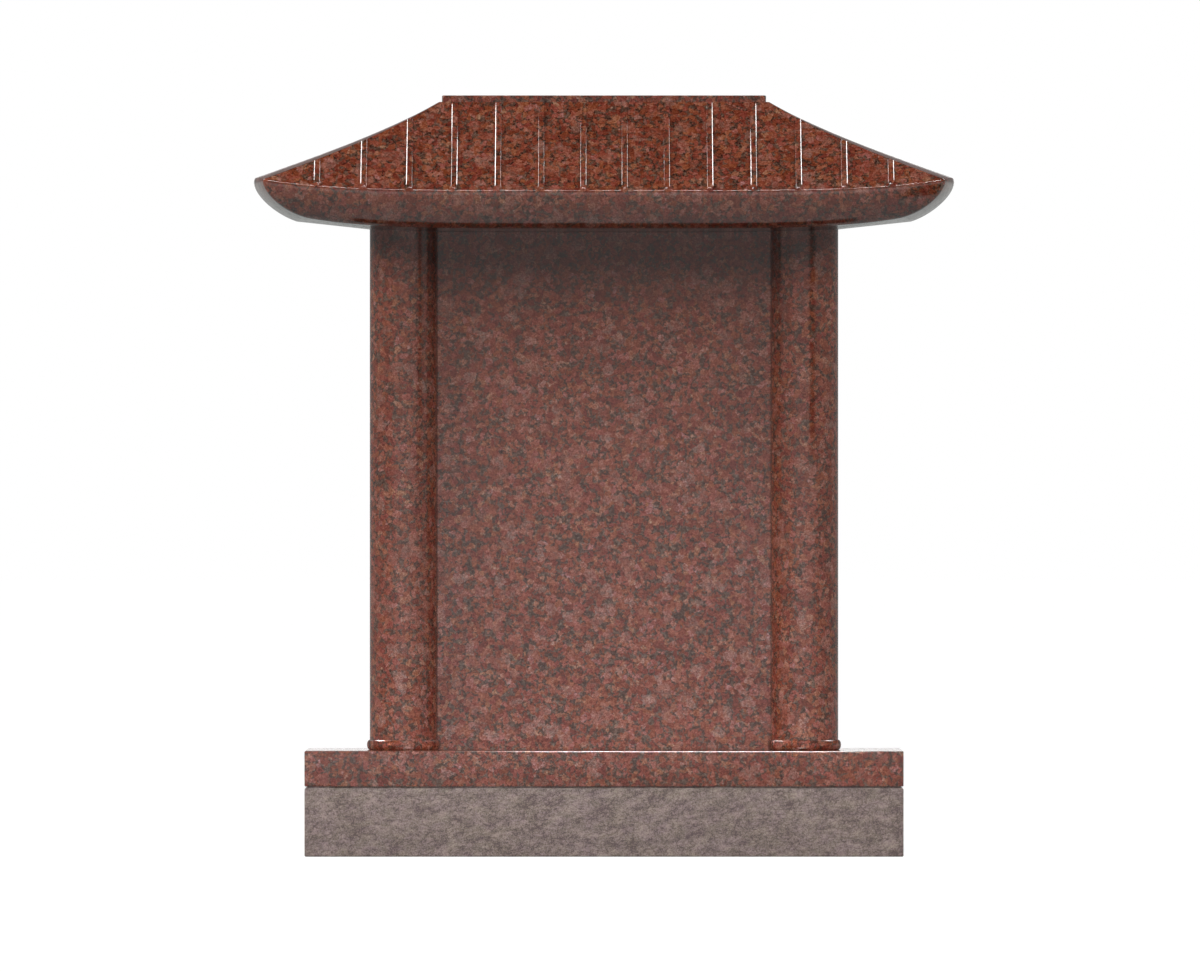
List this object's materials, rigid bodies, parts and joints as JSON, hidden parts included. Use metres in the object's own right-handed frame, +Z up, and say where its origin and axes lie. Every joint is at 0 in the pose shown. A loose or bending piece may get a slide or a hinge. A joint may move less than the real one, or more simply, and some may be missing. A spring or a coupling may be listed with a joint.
{
  "type": "pagoda-style granite headstone",
  "caption": "Upright headstone in polished red granite: ribbed hip roof with upturned corners over round columns and a blank tablet, on a plinth and a grey foundation slab.",
  "frame": {"origin": "middle of the foundation's underside, on the ground", "axes": "+Z up, +X to the viewer's right when facing the tablet, -Y towards the viewer"},
  "size_m": [1.058, 0.4, 1.147],
  "materials": {
    "red_granite": "coarse red granite, mirror polished",
    "grey_granite": "fine mauve-grey granite, sawn and honed matt"
  },
  "bodies": {
    "root": {"foundation": "grey_granite", "plinth": "red_granite", "column_left": "red_granite", "column_right": "red_granite", "tablet": "red_granite", "roof": "red_granite"}
  },
  "joints": []
}
